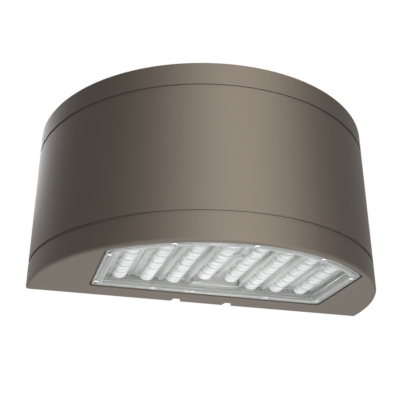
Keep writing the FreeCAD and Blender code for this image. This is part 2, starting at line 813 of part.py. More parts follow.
def make_heat_sink():
    """Die-cast heat sink: base plate with fins on top and a hole for the leads."""
    outline = lens_outline("-sink_inset")
    body = make_flat("heat_sink", SINK_LOW, "sink_thickness", outline, sink_screw_places())
    fins = new_sketch(body, "XY_Plane", SINK_TOP)
    reach = f"({LENS_FRONT} - fin_setback)"
    last = int(value("(bracket_half_span - fin_side_gap) / fin_pitch"))
    for step in range(-last, last + 1):
        x = f"(fin_pitch * {step})"
        front = f"({AXIS_Y} - sqrt(pow({reach}; 2) - pow({x}; 2)))"
        draw_box(fins, f"{x} - fin_thickness / 2", front, f"{x} + fin_thickness / 2",
                 f"{LEAD_Y} - grommet_radius - fin_back_gap")
    pad(body, fins, "fin_height")
    hole = new_sketch(body, "XY_Plane", SINK_TOP)
    draw_circle(hole, "0", LEAD_Y, "grommet_radius")
    pocket(body, hole, "sink_thickness")
    threads = new_sketch(body, "XY_Plane", SINK_LOW)
    for x, y in optic_screw_places():
        draw_circle(threads, x, y, "small_screw")
    pocket(body, threads, "sink_thickness / 2", reverse=True)
    feet = new_sketch(body, "XY_Plane", SINK_TOP)
    for x, y in bracket_screw_places():
        draw_circle(feet, x, y, "small_screw")
    pocket(body, feet, "sink_thickness - blind_floor")
    return body


LEAD_Y = "(-bracket_centre + bracket_depth / 2 + lead_gap)"


def make_lead_grommet():
    """Rubber grommet in the heat sink's lead hole."""
    body = new_body("lead_grommet")
    neck = new_sketch(body, "XY_Plane", f"{SINK_TOP} - sink_thickness")
    draw_circle(neck, "0", LEAD_Y, "grommet_radius")
    pad(body, neck, "sink_thickness")
    lip = new_sketch(body, "XY_Plane", SINK_TOP)
    draw_circle(lip, "0", LEAD_Y, "grommet_radius + grommet_lip")
    pad(body, lip, "grommet_lip")
    holes = new_sketch(body, "XY_Plane", f"{SINK_TOP} + grommet_lip")
    for side in (1, -1):
        draw_circle(holes, f"({side} * lead_spacing / 2)", LEAD_Y, "lead_radius")
    pocket(body, holes, "sink_thickness + grommet_lip")
    return body


def bracket_screw_places():
    """Screws in the feet of the driver bracket."""
    x = "(bracket_half_span + bracket_foot / 2)"
    ends = "(bracket_depth / 2 - bracket_screw_inset)"
    return [(f"({sx} * {x})", f"(-bracket_centre + {sy} * {ends})") for sx in (1, -1) for sy in (1, -1)]


def make_driver_bracket():
    """Bent steel bridge over the fins that carries the driver."""
    body = new_body("driver_bracket")
    section = new_sketch(body, "XZ_Plane", "bracket_centre")
    outer, inner = "bracket_half_span", "(bracket_half_span - bracket_sheet)"
    foot = "(bracket_half_span + bracket_foot)"
    foot_top = f"({SINK_TOP} + bracket_sheet)"
    deck_low = f"({BAY_LOW} - bracket_sheet)"
    draw_outline(section, [
        (f"-{foot}", SINK_TOP), (f"-{inner}", SINK_TOP), (f"-{inner}", deck_low), (inner, deck_low),
        (inner, SINK_TOP), (foot, SINK_TOP), (foot, foot_top), (outer, foot_top), (outer, BAY_LOW),
        (f"-{outer}", BAY_LOW), (f"-{outer}", foot_top), (f"-{foot}", foot_top),
    ])
    pad(body, section, "bracket_depth", both=True)
    holes = new_sketch(body, "XY_Plane", foot_top)
    for x, y in bracket_screw_places():
        draw_circle(holes, x, y, "small_screw")
    pocket(body, holes, "bracket_sheet")
    return body


DRIVER_RIGHT = "(driver_length - driver_left)"
DRIVER_BACK = "(-bracket_centre + driver_width / 2)"
SIDE_BAY = f"({DRIVER_RIGHT} + bay_gap)"


def make_box(label, left, front, right, back, low, tall, corner):
    """Moulded box with rounded upright corners."""
    body = new_body(label)
    base = new_sketch(body, "XY_Plane", low)
    draw_box(base, left, front, right, back)
    pad(body, base, tall)
    round_edges(body, corner, is_upright)
    return body


def make_driver():
    """Driver in its metal can."""
    return make_box("driver", "-driver_left", "-bracket_centre - driver_width / 2",
                    DRIVER_RIGHT, DRIVER_BACK, BAY_LOW, "driver_height", "driver_corner")


def make_surge_protector():
    """Surge protector beside the driver."""
    front = "-bracket_centre - driver_width / 2"
    return make_box("surge_protector", SIDE_BAY, front, f"{SIDE_BAY} + surge_length",
                    f"{front} + surge_width", BAY_LOW, "surge_height", "surge_corner")


def make_terminal_block():
    """Supply terminal block behind the surge protector."""
    body = make_box("terminal_block", SIDE_BAY, f"{DRIVER_BACK} - terminal_width",
                    f"{SIDE_BAY} + terminal_length", DRIVER_BACK, BAY_LOW, "terminal_height",
                    "terminal_corner")
    ports = new_sketch(body, "XZ_Plane", f"-{DRIVER_BACK}")
    for step in (-1, 0, 1):
        x = f"({SIDE_BAY} + terminal_length / 2 + port_pitch * {step})"
        draw_circle(ports, x, f"{BAY_LOW} + terminal_height / 2", "port_radius")
    pocket(body, ports, "terminal_width / 2", reverse=True)
    return body


def make_driver_lead(label, side):
    """Lead from the driver's back, down behind the bracket and through the grommet to the board."""
    body = new_body(label)
    x = f"({side} * lead_spacing / 2)"
    level = f"({BAY_LOW} + lead_rise)"
    path = new_sketch(body, "YZ_Plane", x)
    points = [
        (DRIVER_BACK, level),
        (f"{LEAD_Y} - lead_bend", level),
        (LEAD_Y, f"{level} - lead_bend"),
        (LEAD_Y, BOARD_TOP),
    ]
    spots = [Vector(value(y), value(z), 0) for y, z in points]
    path.addGeometry(Part.LineSegment(spots[0], spots[1]))
    path.addGeometry(arc_between(spots[1], spots[2], -value("lead_bend")))
    path.addGeometry(Part.LineSegment(spots[2], spots[3]))
    path.addConstraint(Sketcher.Constraint("Coincident", 0, 2, 1, 2))
    path.addConstraint(Sketcher.Constraint("Coincident", 1, 1, 2, 1))
    bound = [(0, 1), (0, 2), (2, 1), (2, 2)]
    for (geometry, end), (y, z) in zip(bound, points):
        bind(path, "DistanceX", -1, 1, geometry, end, y)
        bind(path, "DistanceY", -1, 1, geometry, end, z)
    bind(path, "Radius", 1, "lead_bend")
    section = new_sketch(body, "XZ_Plane", f"-{DRIVER_BACK}")
    draw_circle(section, x, level, "lead_radius")
    doc.recompute()
    pipe = body.newObject("PartDesign::AdditivePipe", "Pipe")
    pipe.Profile = section
    pipe.Spine = (path, [])
    doc.recompute()
    return body


def make_supply_leads():
    """Short leads from the driver's end to the terminal block."""
    body = new_body("supply_leads", multi=True)
    section = new_sketch(body, "YZ_Plane", DRIVER_RIGHT)
    for step in (-1, 1):
        draw_circle(section, f"{DRIVER_BACK} - terminal_width / 2 + {step} * lead_spacing / 2",
                    f"{BAY_LOW} + terminal_height / 2", "lead_radius")
    pad(body, section, "bay_gap")
    return body


def make_plate_sheet(body):
    """Flat of the wall plate with the wire entry, box slots and wall holes."""
    flat = new_sketch(body, "XZ_Plane", "0")
    draw_box(flat, f"-{RIM_SIDE}", f"{BOTTOM} + plate_bottom_rise",
             RIM_SIDE, f"{HINGE_Z} - plate_top_drop")
    pad(body, flat, "plate_thickness")
    round_edges(body, "plate_corner", lambda edge: edge.BoundBox.YLength > value("plate_thickness") / 2)
    holes = new_sketch(body, "XZ_Plane", "plate_thickness")
    draw_circle(holes, "0", "0", "entry_radius")
    for side_x in (1, -1):
        slot = f"({side_x} * box_spacing / 2)"
        reach = "(box_slot_length / 2 - box_slot / 2)"
        draw_outline(holes, [
            (f"{slot} - {reach}", "-box_slot / 2"),
            (f"{slot} + {reach}", "-box_slot / 2", "box_slot / 2"),
            (f"{slot} + {reach} + box_slot / 2", "0", "box_slot / 2"),
            (f"{slot} + {reach}", "box_slot / 2"),
            (f"{slot} - {reach}", "box_slot / 2", "box_slot / 2"),
            (f"{slot} - {reach} - box_slot / 2", "0", "box_slot / 2"),
        ])
        for side_z in (1, -1):
            draw_circle(holes, f"({side_x} * anchor_x)", f"({side_z} * anchor_z)", "anchor_radius")
    draw_circle(holes, "ground_x", "ground_z", "ground_screw")
    pocket(body, holes, "plate_thickness")
    recess = new_sketch(body, "XZ_Plane", "0")
    draw_circle(recess, "0", "0", "wall_seal_outer")
    draw_circle(recess, "0", "0", "wall_seal_inner")
    pocket(body, recess, "wall_seal_depth", reverse=True)


SEAL_BASE = "(seal_plane - seal_gap - seal_thickness)"
RIM_SIDE = "(radius - skin - ledge_width - rim_overlap + rim_width)"
RIM_LOW = f"({BULKHEAD_TOP} - rim_width - rim_margin)"
RIM_TOP = f"({HINGE_Z} - hinge_neck - rim_drop)"


def draw_u_band(sketch, inset, width):
    """Band up both sides and along the bottom, open at the top."""
    outer_x = f"({RIM_SIDE} - ({inset}))"
    inner_x = f"({outer_x} - ({width}))"
    low = f"({RIM_LOW} + ({inset}))"
    inner_low = f"({low} + ({width}))"
    draw_outline(sketch, [
        (f"-{outer_x}", low), (outer_x, low), (outer_x, RIM_TOP), (inner_x, RIM_TOP),
        (inner_x, inner_low), (f"-{inner_x}", inner_low),
        (f"-{inner_x}", RIM_TOP), (f"-{outer_x}", RIM_TOP),
    ])


def make_hinge_lugs(body):
    """Gooseneck lugs that reach forward and up to the hinge pins."""
    outer = "(hinge_pin + hinge_wall)"
    front = f"(-hinge_forward - {outer})"
    back = f"(-hinge_forward + {outer})"
    for side in (1, -1):
        lug = new_sketch(body, "YZ_Plane", f"({side} * hinge_x)")
        draw_outline(lug, [
            ("-plate_thickness + root", f"{HINGE_Z} - hinge_root"),
            ("-plate_thickness + root", RIM_TOP),
            (back, RIM_TOP),
            (back, HINGE_Z, outer),
            ("-hinge_forward", f"{HINGE_Z} + {outer}", outer),
            (front, HINGE_Z),
            (front, f"{HINGE_Z} - hinge_root + hinge_chamfer"),
            (f"{front} + hinge_chamfer", f"{HINGE_Z} - hinge_root"),
        ])
        pad(body, lug, "hinge_lug", both=True)
        bore = new_sketch(body, "YZ_Plane", f"({side} * hinge_x)")
        draw_circle(bore, "-hinge_forward", HINGE_Z, "hinge_pin + hinge_play")
        pocket(body, bore, "hinge_lug + root", both=True)


def make_wall_plate():
    """Wall plate with its seal rim, hinge lugs and the lugs that take the closing screws."""
    body = new_body("wall_plate")
    make_plate_sheet(body)
    rim = new_sketch(body, "XZ_Plane", "plate_thickness")
    draw_u_band(rim, "0", "rim_width")
    pad(body, rim, f"{SEAL_BASE} - plate_thickness")
    make_hinge_lugs(body)
    lugs = new_sketch(body, "XZ_Plane", "plate_thickness")
    for side in (1, -1):
        middle = f"({side} * notch_offset)"
        draw_box(lugs, f"{middle} - close_lug_width / 2", CLOSE_LUG_LOW,
                 f"{middle} + close_lug_width / 2", f"{CLOSE_LUG_LOW} + close_lug_height")
    pad(body, lugs, "close_back + close_screw + close_lug_wall - plate_thickness")
    bores = new_sketch(body, "XY_Plane", CLOSE_LUG_LOW)
    for side in (1, -1):
        draw_circle(bores, f"({side} * notch_offset)", "-close_back", "close_screw + hinge_play")
    pocket(body, bores, "close_lug_height", reverse=True)
    return body


def make_edge_gasket():
    """Sponge seal on the plate's rim, where the housing closes on it."""
    body = new_body("edge_gasket")
    band = new_sketch(body, "XZ_Plane", SEAL_BASE)
    draw_u_band(band, "(rim_width - seal_width) / 2", "seal_width")
    pad(body, band, "seal_thickness")
    return body


def make_wall_gasket():
    """Ring in the back of the plate that seals round the wall box."""
    body = new_body("wall_gasket")
    ring = new_sketch(body, "XZ_Plane", "0")
    draw_circle(ring, "0", "0", "wall_seal_outer")
    draw_circle(ring, "0", "0", "wall_seal_inner")
    pad(body, ring, "wall_seal_depth")
    return body


def make_wire_bushing():
    """Bushing in the wire entry with a lip on its front."""
    body = new_body("wire_bushing")
    neck = new_sketch(body, "XZ_Plane", "0")
    draw_circle(neck, "0", "0", "entry_radius")
    pad(body, neck, "plate_thickness")
    lip = new_sketch(body, "XZ_Plane", "plate_thickness")
    draw_circle(lip, "0", "0", "entry_radius + bushing_lip")
    pad(body, lip, "bushing_lip")
    bore = new_sketch(body, "XZ_Plane", "plate_thickness + bushing_lip")
    draw_circle(bore, "0", "0", "entry_radius - bushing_wall")
    pocket(body, bore, "plate_thickness + bushing_lip")
    return body


def make_ground_parts():
    """Cup washer and ground screw on the plate."""
    washer = new_body("ground_washer")
    ring = new_sketch(washer, "XZ_Plane", "plate_thickness")
    draw_circle(ring, "ground_x", "ground_z", "washer_radius")
    draw_circle(ring, "ground_x", "ground_z", "ground_screw")
    pad(washer, ring, "washer_thickness")
    screw = new_body("ground_screw")
    shank = new_sketch(screw, "XZ_Plane", "0")
    draw_circle(shank, "ground_x", "ground_z", "ground_screw")
    pad(screw, shank, "plate_thickness + washer_thickness")
    head = new_sketch(screw, "XZ_Plane", "plate_thickness + washer_thickness")
    draw_circle(head, "ground_x", "ground_z", "ground_head")
    pad(screw, head, "ground_head_height")
    slot = new_sketch(screw, "XZ_Plane", "plate_thickness + washer_thickness + ground_head_height")
    draw_box(slot, "ground_x - ground_head", "ground_z - ground_slot", "ground_x + ground_head",
             "ground_z + ground_slot")
    pocket(screw, slot, "ground_slot_depth")
    return [washer, screw]


def make_closing_screw(label, side):
    """Closing screw under a wall plate lug, head down, with a hexagon socket."""
    body = new_body(label)
    x = f"({side} * notch_offset)"
    head = new_sketch(body, "XY_Plane", CLOSE_HEAD_LOW)
    draw_circle(head, x, "-close_back", "close_head")
    pad(body, head, "close_head_height")
    shank = new_sketch(body, "XY_Plane", CLOSE_HEAD_TOP)
    draw_circle(shank, x, "-close_back", "close_screw")
    pad(body, shank, f"{CLOSE_LUG_LOW} + close_lug_height - {CLOSE_HEAD_TOP}")
    socket = new_sketch(body, "XY_Plane", CLOSE_HEAD_LOW)
    draw_polygon(socket, x, "-close_back", "socket_radius", 6)
    pocket(body, socket, "socket_depth", reverse=True)
    return body


def make_all():
    """Every sub-part, in the order in which the light comes apart."""
    sink_tip = f"({SINK_LOW} + sink_thickness / 2)"
    bracket_seat = f"({SINK_TOP} + bracket_sheet)"
    small = ("small_screw", "small_screw_head", "small_screw_head_height")
    lens_screw = ("lens_screw", "lens_screw_head", "lens_screw_head_height")
    board = lens_outline("-board_inset")
    pieces = [
        make_wall_plate(),
        make_edge_gasket(),
        make_wall_gasket(),
        make_wire_bushing(),
        *make_ground_parts(),
        make_closing_screw("closing_screw_right", 1),
        make_closing_screw("closing_screw_left", -1),
        make_housing(),
        make_hinge_pins(),
        make_lens(),
        make_lens_gasket(),
        screw_group("lens_screws", lens_screw_places(), *lens_screw,
                    f"({FLANGE_LOW} + lens_screw_sink)", f"({SEAT_TOP} + boss_rise)"),
        make_flat("led_board", BOARD_LOW, "board_thickness", board, optic_screw_places()),
        make_led_chips(),
        make_board_connector(),
        screw_group("optic_screws", optic_screw_places(), *small, PLATE_LOW, sink_tip),
        make_thermal_pad(board),
        make_heat_sink(),
        make_lead_grommet(),
        screw_group("heat_sink_screws", sink_screw_places(), *small, SINK_TOP,
                    f"({SINK_LOW} - screw_bite)", head_down=False),
        make_driver_bracket(),
        screw_group("bracket_screws", bracket_screw_places(), *small, bracket_seat,
                    f"({SINK_LOW} + blind_floor)", head_down=False),
        make_driver(),
        make_surge_protector(),
        make_terminal_block(),
        make_driver_lead("lead_positive", 1),
        make_driver_lead("lead_negative", -1),
        make_supply_leads(),
    ]
    return pieces


def check_and_write(pieces):
    """Stop on any failed object or shape, then write one file for each sub-part."""
    doc.recompute()
    for item in doc.Objects:
        if "Invalid" in item.State or "Error" in item.State:
            raise RuntimeError(f"{item.Label} is {item.State}")
    for piece in pieces:
        shape = piece.Shape
        if shape.isNull() or not shape.isValid() or not shape.Solids:
            raise RuntimeError(f"{piece.Label} has no valid solid")
    os.makedirs("parts", exist_ok=True)
    for piece in pieces:
        shape = piece.Shape
        shape.exportStep(f"parts/{piece.Label}.step")
        box = shape.BoundBox
        print(f"{piece.Label:22} solids {len(shape.Solids):3}  volume {shape.Volume:12.1f}  "
              f"x {box.XMin:8.2f} {box.XMax:8.2f}  y {box.YMin:8.2f} {box.YMax:8.2f}  "
              f"z {box.ZMin:8.2f} {box.ZMax:8.2f}")


check_and_write(make_all())
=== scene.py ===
# %% [markdown]
# # Wall pack light
# A half-round, dark bronze light that hangs on an outside wall and shines down through a
# clear lens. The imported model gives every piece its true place; this lesson gives each
# piece its finish and models the parts that need finer shapes than the frame holds.

import json
import math

import bmesh
import bpy
from mathutils import Matrix, Vector


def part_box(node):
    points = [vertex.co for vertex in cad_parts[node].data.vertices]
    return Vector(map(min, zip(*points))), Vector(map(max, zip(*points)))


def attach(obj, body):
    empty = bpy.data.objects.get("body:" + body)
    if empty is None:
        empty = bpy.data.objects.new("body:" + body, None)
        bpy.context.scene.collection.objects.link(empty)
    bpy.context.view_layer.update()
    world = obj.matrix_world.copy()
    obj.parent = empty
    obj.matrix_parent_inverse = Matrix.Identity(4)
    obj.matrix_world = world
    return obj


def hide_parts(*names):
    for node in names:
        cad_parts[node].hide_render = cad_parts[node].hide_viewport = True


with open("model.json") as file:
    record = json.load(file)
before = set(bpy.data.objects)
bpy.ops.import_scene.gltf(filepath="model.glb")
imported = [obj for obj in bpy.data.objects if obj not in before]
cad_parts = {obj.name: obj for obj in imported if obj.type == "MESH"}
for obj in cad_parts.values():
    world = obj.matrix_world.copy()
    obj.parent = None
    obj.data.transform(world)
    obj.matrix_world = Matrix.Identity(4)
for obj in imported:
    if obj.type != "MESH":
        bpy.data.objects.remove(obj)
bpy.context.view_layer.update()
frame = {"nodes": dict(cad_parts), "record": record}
nodes = frame["nodes"]
print("nodes in the frame:", len(nodes))

# %% [markdown]
# ## Sizes that the pieces share
# The housing is half of a cylinder standing on its end. Its radius and height are read
# from the frame, so every new piece follows the model if the model changes.

# %% Read the driving sizes from the frame
MM = 0.001
low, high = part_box("housing")
REAR = high.y
RADIUS = high.x
BOTTOM = low.z
TOP = high.z
lens_low, lens_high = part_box("lens")
print("radius", round(RADIUS, 4), "height", round(TOP - BOTTOM, 4), "lens", lens_low, lens_high)

# %% [markdown]
# ## Camera
# The photograph was taken from below and a little to the left, with a short telephoto.
# The place below was worked out from the rims of the half cylinder, so the same curves
# fall on the same parts of the picture. It is given in shares of the housing's radius.

# %% Place the camera
CAMERA_PLACE = Vector((-1.1085 * RADIUS, REAR - 3.7686 * RADIUS, BOTTOM - 1.1685 * RADIUS))
CAMERA_PITCH = 0.43684
CAMERA_TURN = 0.28491
CAMERA_LENS = 62.46

camera_data = bpy.data.cameras.new("camera")
camera_data.lens = CAMERA_LENS
camera_data.sensor_width = 36.0
camera = bpy.data.objects.new("camera", camera_data)
camera.location = CAMERA_PLACE
camera.rotation_euler = (math.pi / 2 + CAMERA_PITCH, 0.0, -CAMERA_TURN)
bpy.context.scene.collection.objects.link(camera)
bpy.context.scene.camera = camera
bpy.context.scene.view_settings.view_transform = "Standard"
print("camera at", camera.location)

# %% [markdown]
# ## Background
# The picture is a cut-out on white. A white world would also flood the piece with light, so
# the world is a soft grey that lights it from all sides. It turns white only where the
# camera, a reflection or a clear piece looks straight at it.

# %% World
WORLD_LEVEL = 0.28
ALSO_WHITE = ["Is Glossy Ray", "Is Transmission Ray"]


def seen_directly(tree):
    """Value that is 1 for camera rays and for the rays in ALSO_WHITE, else 0."""
    path = tree.nodes.new("ShaderNodeLightPath")
    last = path.outputs["Is Camera Ray"]
    for kind in ALSO_WHITE:
        join = tree.nodes.new("ShaderNodeMath")
        join.operation = "MAXIMUM"
        tree.links.new(last, join.inputs[0])
        tree.links.new(path.outputs[kind], join.inputs[1])
        last = join.outputs[0]
    return last


def background(tree, level):
    """White background of a given strength."""
    shader = tree.nodes.new("ShaderNodeBackground")
    shader.inputs["Color"].default_value = (1.0, 1.0, 1.0, 1.0)
    shader.inputs["Strength"].default_value = level
    return shader


world = bpy.data.worlds.new("studio")
world.use_nodes = True
bpy.context.scene.world = world
sky = world.node_tree
sky.nodes.clear()
mix = sky.nodes.new("ShaderNodeMixShader")
sky.links.new(seen_directly(sky), mix.inputs[0])
sky.links.new(background(sky, WORLD_LEVEL).outputs[0], mix.inputs[1])
sky.links.new(background(sky, 1.0).outputs[0], mix.inputs[2])
sky.links.new(mix.outputs[0], sky.nodes.new("ShaderNodeOutputWorld").inputs[0])
print("world:", len(sky.nodes), "nodes")

# %% [markdown]
# ## Floor
# The floor lies well below the light and takes its shadow. It glows a little, and only for
# the rays that see it directly, so it stays nearly as pale as the background without lighting
# the piece from below.

# %% Floor mesh
FLOOR_DROP = 0.62
FLOOR_HALF = 3.0

floor_mesh = bmesh.new()
bmesh.ops.create_grid(floor_mesh, x_segments=1, y_segments=1, size=FLOOR_HALF,
                      matrix=Matrix.Translation((0, 0, BOTTOM - FLOOR_DROP)))
floor_data = bpy.data.meshes.new("floor")
floor_mesh.to_mesh(floor_data)
floor_mesh.free()
floor = bpy.data.objects.new("floor", floor_data)
bpy.context.scene.collection.objects.link(floor)
print("floor at", round(BOTTOM - FLOOR_DROP, 3))

# %% Floor finish
FLOOR_GLOW = 0.5


def new_material(name):
    """Empty material with a Principled shader joined to its output."""
    material = bpy.data.materials.new(name)
    material.use_nodes = True
    material.node_tree.nodes.clear()
    output = material.node_tree.nodes.new("ShaderNodeOutputMaterial")
    shader = material.node_tree.nodes.new("ShaderNodeBsdfPrincipled")
    material.node_tree.links.new(shader.outputs[0], output.inputs[0])
    return material, shader


floor_material, floor_shader = new_material("pale_floor")
floor_shader.inputs["Base Color"].default_value = (0.8, 0.8, 0.8, 1.0)
floor_shader.inputs["Roughness"].default_value = 0.8
floor_tree = floor_material.node_tree
glow = floor_tree.nodes.new("ShaderNodeMath")
glow.operation = "MULTIPLY"
glow.inputs[1].default_value = FLOOR_GLOW
floor_tree.links.new(seen_directly(floor_tree), glow.inputs[0])
floor_tree.links.new(glow.outputs[0], floor_shader.inputs["Emission Strength"])
floor_data.materials.append(floor_material)
print("made", floor_material.name)

# %% [markdown]
# ## Lights
# A tall strip of soft light stands close in front: on a half cylinder it gives one upright
# band of light that fades quickly to both sides, as in the photograph. A broad soft light
# near the floor shines up, because the underside and the lens are what the picture shows
# best. A third one behind keeps the wall side readable when it is seen from the back.

# %% Lamps
KEY_TURN = math.radians(-5)
KEY_REACH = 0.46
KEY_SPREAD = math.radians(46)


def soft_box(name, place, target, width, height, power, spread=math.pi, colour=(1, 1, 1)):
    """Rectangular soft light that looks at a point and is not seen itself."""
    data = bpy.data.lights.new(name, "AREA")
    data.shape = "RECTANGLE"
    data.size = width
    data.size_y = height
    data.energy = power
    data.spread = spread
    data.color = colour
    light = bpy.data.objects.new(name, data)
    light.location = place
    direction = Vector(target) - Vector(place)
    light.rotation_euler = direction.to_track_quat("-Z", "Y").to_euler()
    light.visible_camera = False
    bpy.context.scene.collection.objects.link(light)


key_place = (KEY_REACH * math.sin(KEY_TURN), REAR - KEY_REACH * math.cos(KEY_TURN), 0.0)
soft_box("key", key_place, (0, REAR, 0), 0.10, 1.4, 0.95, KEY_SPREAD)
soft_box("up", (0.0, -0.10, BOTTOM - 0.45), (0, -0.09, BOTTOM), 0.7, 0.4, 2.5,
         colour=(0.92, 0.965, 1.0))
soft_box("behind", (-0.5, 1.1, 1.0), (0, 0, 0), 1.0, 1.0, 16.0)

# %% [markdown]
# ## How a finish is made
# No real surface has one flat colour. Each finish here starts from one noise texture in the
# piece's own coordinates, and the same noise drives the tint, the roughness and a fine
# relief. So a darker speck is also a little smoother and deeper, as it is in real paint.

# %% Noise and tint


def noise(material, scale):
    """Noise on object coordinates."""
    tree = material.node_tree
    place = tree.nodes.new("ShaderNodeTexCoord")
    texture = tree.nodes.new("ShaderNodeTexNoise")
    texture.inputs["Scale"].default_value = scale
    texture.inputs["Detail"].default_value = 3.0
    texture.inputs["Roughness"].default_value = 0.55
    tree.links.new(place.outputs["Object"], texture.inputs["Vector"])
    return texture


def tint(material, shader, source, dark, light):
    """Base colour that runs from dark to light over the middle of a texture."""
    node = material.node_tree.nodes.new("ShaderNodeValToRGB")
    for element, place, colour in zip(node.color_ramp.elements, (0.3, 0.7), (dark, light)):
        element.position = place
        element.color = (*colour, 1.0)
    material.node_tree.links.new(source, node.inputs[0])
    material.node_tree.links.new(node.outputs[0], shader.inputs["Base Color"])


print("helpers for a finish: noise, tint")

# %% Relief and roughness


def relief(material, shader, source, strength, distance):
    """Fine bump from a texture."""
    node = material.node_tree.nodes.new("ShaderNodeBump")
    node.inputs["Strength"].default_value = strength
    node.inputs["Distance"].default_value = distance
    material.node_tree.links.new(source, node.inputs["Height"])
    material.node_tree.links.new(node.outputs[0], shader.inputs["Normal"])


def ranged(material, source, low_value, high_value, socket, reach=1.0):
    """Feed a socket with a value that runs from low to high while its source runs to reach."""
    node = material.node_tree.nodes.new("ShaderNodeMapRange")
    node.inputs["From Max"].default_value = reach
    node.inputs["To Min"].default_value = low_value
    node.inputs["To Max"].default_value = high_value
    material.node_tree.links.new(source, node.inputs["Value"])
    material.node_tree.links.new(node.outputs[0], socket)


print("helpers for a finish: relief, ranged")

# %% [markdown]
# ## Bronze powder coat
# Powder coat is sprayed dry and melted on. It leaves a satin skin with a fine orange
# peel and tiny darker and lighter specks. The coat reflects little of the white
# surroundings, so its specular level is low.

# %% Housing finish
BRONZE_SHINE = 0.06


def coloured(name, dark, light, scale, rough, bumps, metallic=0.0):
    """Material whose colour, roughness and relief come from one noise."""
    material, shader = new_material(name)
    grain = noise(material, scale).outputs["Fac"]
    tint(material, shader, grain, dark, light)
    ranged(material, grain, *rough, shader.inputs["Roughness"])
    relief(material, shader, grain, *bumps)
    shader.inputs["Metallic"].default_value = metallic
    return material


def shader_of(material):
    """Principled shader of a material."""
    return next(n for n in material.node_tree.nodes if n.type == "BSDF_PRINCIPLED")


bronze = coloured("bronze_powder_coat", (0.140, 0.116, 0.094), (0.162, 0.135, 0.110), 1400.0,
                  (0.44, 0.54), (0.12, 0.00012))
shader_of(bronze).inputs["Specular IOR Level"].default_value = BRONZE_SHINE
print("made", bronze.name)

# %% [markdown]
# ## Metals
# Screws are polished stainless, the heat sink is bare cast aluminium and the bracket is
# zinc-plated sheet. They differ in grain size and in how rough they are, not in kind, so one
# recipe serves them all. The ground screw is dyed green by custom.

# %% Metals
stainless = coloured("stainless", (0.52, 0.52, 0.52), (0.66, 0.66, 0.66), 900.0, (0.10, 0.2),
                     (0.1, 0.00005), metallic=1.0)
cast_aluminium = coloured("cast_aluminium", (0.45, 0.46, 0.47), (0.58, 0.59, 0.60), 500.0,
                          (0.4, 0.55), (0.25, 0.0002), metallic=0.9)
zinc_steel = coloured("zinc_steel", (0.42, 0.43, 0.45), (0.60, 0.61, 0.62), 90.0,
                      (0.28, 0.42), (0.05, 0.0001), metallic=1.0)
green_zinc = coloured("green_zinc", (0.02, 0.22, 0.06), (0.03, 0.30, 0.09), 500.0,
                      (0.3, 0.42), (0.05, 0.0001), metallic=0.6)
print("metals:", stainless.name, cast_aluminium.name, zinc_steel.name, green_zinc.name)

# %% [markdown]
# ## Rubber, silicone and plastic
# Soft seals are dull and a little grainy. The moulded parts are smoother, and the driver's
# can is enamelled. Each lead has its own colour, so that it can be followed by eye.

# %% Seals, plastics and leads
black_rubber = coloured("black_rubber", (0.02, 0.02, 0.02), (0.035, 0.035, 0.035), 600.0,
                        (0.6, 0.8), (0.2, 0.0001))
white_silicone = coloured("white_silicone", (0.74, 0.74, 0.73), (0.80, 0.80, 0.79), 700.0,
                          (0.45, 0.6), (0.15, 0.0001))
grey_pad = coloured("grey_pad", (0.28, 0.29, 0.31), (0.36, 0.37, 0.39), 500.0, (0.6, 0.75),
                    (0.1, 0.0001))
cream_plastic = coloured("cream_plastic", (0.62, 0.58, 0.50), (0.68, 0.64, 0.56), 500.0,
                         (0.4, 0.5), (0.06, 0.0001))
dark_plastic = coloured("dark_plastic", (0.03, 0.03, 0.035), (0.05, 0.05, 0.055), 700.0,
                        (0.45, 0.6), (0.12, 0.0001))
driver_enamel = coloured("driver_enamel", (0.66, 0.66, 0.64), (0.72, 0.72, 0.70), 700.0,
                         (0.35, 0.45), (0.08, 0.0001))
red_lead = coloured("red_lead", (0.40, 0.02, 0.015), (0.50, 0.03, 0.02), 300.0, (0.35, 0.45),
                    (0.05, 0.0001))
blue_lead = coloured("blue_lead", (0.02, 0.05, 0.35), (0.03, 0.08, 0.45), 300.0, (0.35, 0.45),
                     (0.05, 0.0001))
black_lead = coloured("black_lead", (0.015, 0.015, 0.015), (0.03, 0.03, 0.03), 300.0,
                      (0.35, 0.45), (0.05, 0.0001))
print("leads:", red_lead.name, blue_lead.name, black_lead.name)

# %% [markdown]
# ## Board and light points
# The board is white, so that it throws stray light back out. The light points are pale
# yellow phosphor. The LEDs are off, so their glow is painted light that makes them read
# bright.

# %% Board, and phosphor with a painted glow
PAINTED_CHIP_GLOW = 1.4
white_board = coloured("white_board", (0.80, 0.80, 0.79), (0.86, 0.86, 0.85), 500.0,
                       (0.3, 0.4), (0.05, 0.00005))
phosphor_painted_glow = coloured("phosphor_painted_glow", (0.84, 0.80, 0.62), (0.88, 0.85, 0.70), 700.0, (0.3, 0.4),
                    (0.05, 0.00005))
# Painted glow: the unlit light points emit a little light of their own.
shader_of(phosphor_painted_glow).inputs["Emission Color"].default_value = (1.0, 0.98, 0.95, 1.0)
shader_of(phosphor_painted_glow).inputs["Emission Strength"].default_value = PAINTED_CHIP_GLOW
print("made", white_board.name, phosphor_painted_glow.name)

# %% [markdown]
# ## Clear lens
# The lens is clear acrylic, hazy enough to hide the board behind it. A glass shader alone
# would show the dark housing through the flange, so part of the light is scattered by the
# base colour. The optics scatter more. Their crowns carry a faint painted highlight: an
# emission where they face the camera that fades to nothing at their flanks.

# %% Lens and optic finishes
# Painted highlight: emission on the optics' crowns, strongest where they face the camera.
PAINTED_CROWN_HIGHLIGHT = 0.085
FLANK = 0.62
clear_lens, clear_shader = new_material("clear_lens")
clear_shader.inputs["Base Color"].default_value = (0.95, 0.95, 0.93, 1.0)
clear_shader.inputs["Transmission Weight"].default_value = 0.76
clear_shader.inputs["IOR"].default_value = 1.49
ripple = noise(clear_lens, 260.0).outputs["Fac"]
ranged(clear_lens, ripple, 0.06, 0.12, clear_shader.inputs["Roughness"])
relief(clear_lens, clear_shader, ripple, 0.04, 0.0002)

